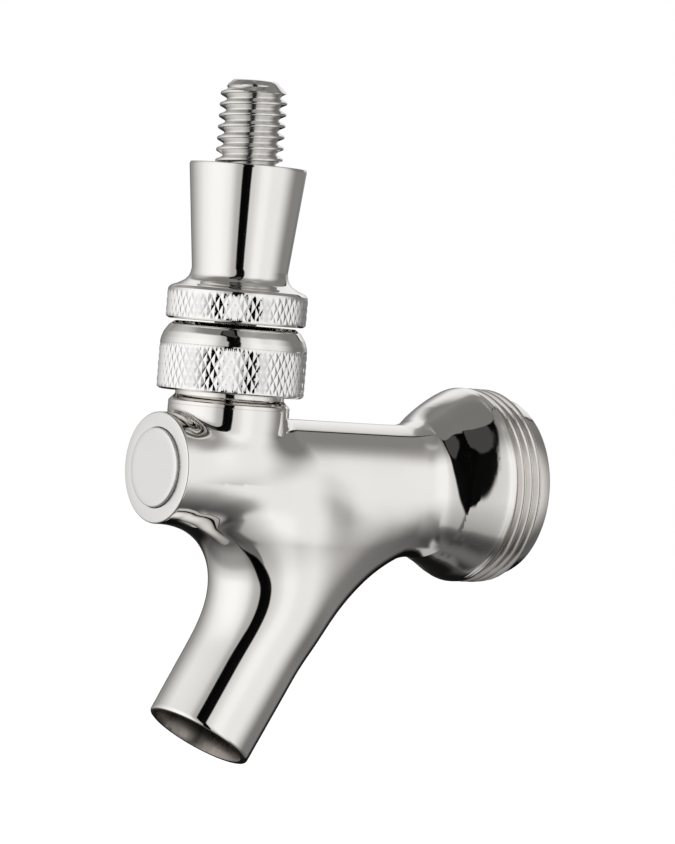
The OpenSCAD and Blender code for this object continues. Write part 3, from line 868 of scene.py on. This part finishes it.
for ring_r in (0.15, 0.35, 0.6, 0.9):
    cur = [bm.verts.new((ring_r * math.cos(a), ring_r * math.sin(a), -0.056)) for a in angles(96)]
    if prev is None:
        bm.faces.new(cur)
    else:
        for i in range(96):
            bm.faces.new([prev[i], prev[(i + 1) % 96], cur[(i + 1) % 96], cur[i]])
    prev = cur
bmesh.ops.recalc_face_normals(bm, faces=bm.faces)
floor_mesh = bpy.data.meshes.new("floor")
bm.to_mesh(floor_mesh)
bm.free()
floor = bpy.data.objects.new("floor", floor_mesh)
floor_mesh.materials.append(floor_mat)
bpy.context.scene.collection.objects.link(floor)
floor.visible_glossy = False

world = bpy.data.worlds.new("studio")
bpy.context.scene.world = world
world.use_nodes = True
w = Nodes(world.node_tree)
wo = w.add("ShaderNodeOutputWorld")
sep = w.add("ShaderNodeSeparateXYZ", None, Vector=w.add("ShaderNodeTexCoord").outputs["Generated"])
# azimuth round the upright axis, 0 towards the camera's side, positive to its right; elevation above the horizon
ca, sa = math.cos(AZ), math.sin(AZ)
wx, wy, wz = sep.outputs
ahead = w.math("SUBTRACT", w.math("MULTIPLY", wx, sa), w.math("MULTIPLY", wy, ca))
side = w.math("ADD", w.math("MULTIPLY", wx, ca), w.math("MULTIPLY", wy, sa))
az = w.math("MULTIPLY", w.math("ARCTAN2", side, ahead), 180 / math.pi)
el = w.math("MULTIPLY", w.math("ARCSINE", w.math("MAXIMUM", w.math("MINIMUM", wz, 1.0), -1.0)), 180 / math.pi)


def light(p):
    """Radiance that chrome shows as display value p."""
    return (p / 255.0) ** 2.2 / 0.82


def curve(x, lo, hi, pts, top):
    """A smooth curve through given points, as a node. Values are 0..top."""
    n = w.add("ShaderNodeFloatCurve", None, Factor=1.0, Value=w.remap(x, lo, hi, 0.0, 1.0))
    c = n.mapping.curves[0]
    n.mapping.use_clip = False
    while len(c.points) > 2:
        c.points.remove(c.points[-1])
    for i, (u, v) in enumerate(pts):
        q = ((u - lo) / (hi - lo), v / top)
        if i < 2:
            c.points[i].location = q
            p = c.points[i]
        else:
            p = c.points.new(*q)
        p.handle_type = "AUTO_CLAMPED"
    n.mapping.update()
    return w.math("MULTIPLY", n.outputs[0], top)


def sky(*pts):
    return curve(el, -90.0, 90.0, [(e, light(p)) for e, p in pts], 1.6)


def line(*pts):
    """An azimuth that depends on the elevation, as straight stretches."""
    return w.math("SUBTRACT", curve(el, -90.0, 90.0, [(e, a + 90.0) for e, a in pts], 180.0), 90.0)


def step(x, a, b):
    return w.remap(x, a, b, 0.0, 1.0, smooth=True)


def within(x, a, b, soft):
    """1 between the lines a and b, with soft edges."""
    up = step(w.math("SUBTRACT", x, a), -soft, soft)
    down = step(w.math("SUBTRACT", b, x), -soft, soft)
    return w.math("MULTIPLY", up, down)


def blend(f, a, b):
    """a where f is 0, b where f is 1."""
    return w.math("ADD", w.math("MULTIPLY", a, w.math("SUBTRACT", 1.0, f)), w.math("MULTIPLY", b, f))


left = sky((-90, 92), (-76, 90), (-66, 118), (-55, 142), (-45, 150), (-38, 165), (-30, 202), (-20, 228), (-10, 247), (4, 248), (30, 244),
           (40, 226), (48, 180), (54, 134), (65, 116), (90, 112))
left_fall = curve(az, -180.0, 180.0, [(-180, 0.3), (-150, 0.29), (-135, 0.40), (-120, 0.58), (-105, 0.77), (-90, 0.91), (-60, 1.0), (-40, 0.93), (-25, 0.68),
                                      (-15, 0.46), (0, 0.40)], 1.0)
left = w.math("MULTIPLY", left, blend(step(el, 44.0, 58.0), left_fall, 1.0))
right_near = sky((-90, 95), (-78, 80), (-66, 82), (-58, 110), (-50, 176), (-40, 194), (-30, 208), (-20, 222), (-10, 231), (5, 231), (30, 231), (42, 216),
                 (52, 182), (60, 156), (70, 140), (90, 118))
right_fall = curve(az, -180.0, 180.0, [(0, 0.72), (12, 0.76), (25, 0.92), (40, 1.08), (60, 1.0), (180, 1.0)], 1.2)
right_near = w.math("MULTIPLY", right_near, right_fall)
right_far = sky((-90, 70), (-75, 62), (-64, 84), (-55, 104), (-45, 136), (-37, 162), (-30, 192), (-22, 216), (-12, 228), (0, 229), (25, 229), (34, 219),
                (42, 192), (50, 162), (60, 148), (66, 166), (74, 130), (90, 112))
beyond = sky((-90, 120), (-76, 176), (-67, 120), (-60, 74), (-50, 88), (-35, 96), (-20, 112), (-12, 126), (-5, 126), (5, 112), (20, 118), (35, 118), (50, 126),
             (60, 124), (75, 128), (90, 112))
rear_right = sky((-90, 110), (-78, 174), (-60, 174), (-50, 165), (-45, 70), (-38, 20), (-15, 22), (-8, 60), (2, 150), (12, 205), (22, 230), (44, 214), (52, 150),
                 (62, 126), (90, 122))
rear_left = sky((-90, 95), (-70, 108), (-62, 60), (-50, 26), (-20, 36), (-10, 70), (0, 105), (12, 130), (22, 195), (34, 230), (48, 218), (58, 130), (80, 150),
                (90, 122))
lum = blend(step(az, -164.0, -148.0), rear_left, left)
lum = blend(step(az, 0.0, 2.0), lum, right_near)
lum = blend(step(az, 42.0, 62.0), lum, right_far)
lum = blend(step(az, 72.0, 116.0), lum, beyond)
lum = blend(blend(step(el, 8.0, 16.0), step(az, 140.0, 158.0), step(az, 150.5, 153.5)), lum, rear_right)
lum = blend(step(el, -88.0, -70.0), light(100), lum)
# the narrow dark post between the white backdrop and the grey side wall
post = w.math("MULTIPLY", within(az, 148.0, 152.0, 1.0), step(el, 14.0, 20.0))
lum = w.math("MULTIPLY", lum, w.math("SUBTRACT", 1.0, w.math("MULTIPLY", post, 0.96)))
# the dark gap, which opens overhead into a grey ceiling between two black arms
gap_l = line((-90, -34), (-65, -30), (-55, -25), (-45, -21), (-35, -18), (-22, -14), (-10, -9.5), (5, -7.5), (20, -7), (30, -9), (38, -12), (45, -18),
             (52, -27), (60, -34), (66, -38), (70, -20), (76, -4), (90, 0))
gap_r = line((-90, -34), (-65, -27), (-55, -17), (-45, -7), (-35, -1), (-25, 4), (-15, 8), (0, 11), (12, 12.5), (25, 13.5), (45, 12.5), (60, 12), (70, 9),
             (78, 2), (90, 0))
gap = within(az, gap_l, gap_r, 1.3)
lum = w.math("MULTIPLY", lum, w.math("SUBTRACT", 1.0, w.math("MULTIPLY", gap, 0.995)))
in_l = line((-90, 0), (38, 3), (43, -1), (50, -10), (56, -18), (62, -26), (68, -34), (74, -30), (80, -20), (90, 0))
in_r = line((-90, 0), (38, 3), (43, 6), (50, 8), (60, 7), (66, 3), (71, -3), (76, -10), (90, -10))
ceiling = w.math("MULTIPLY", within(az, in_l, in_r, 1.5), step(el, 37.0, 43.0))
lum = w.math("ADD", lum, w.math("MULTIPLY", w.math("MULTIPLY", gap, ceiling), light(66)))
seen = w.add("ShaderNodeLightPath").outputs["Is Camera Ray"]
tint = w.mix(step(lum, 0.15, 0.95), (1.02, 1.0, 0.985, 1), (1.0, 1.0, 1.0, 1))
studio = w.add("ShaderNodeBackground", None, Color=tint, Strength=lum)
plain = w.add("ShaderNodeBackground", None, Color=(1, 1, 1, 1), Strength=1.0)
both = w.add("ShaderNodeMixShader", None, Fac=seen, i1=studio.outputs[0], i2=plain.outputs[0])
w.t.links.new(both.outputs[0], wo.inputs[0])

bpy.context.scene.view_settings.view_transform = "Standard"
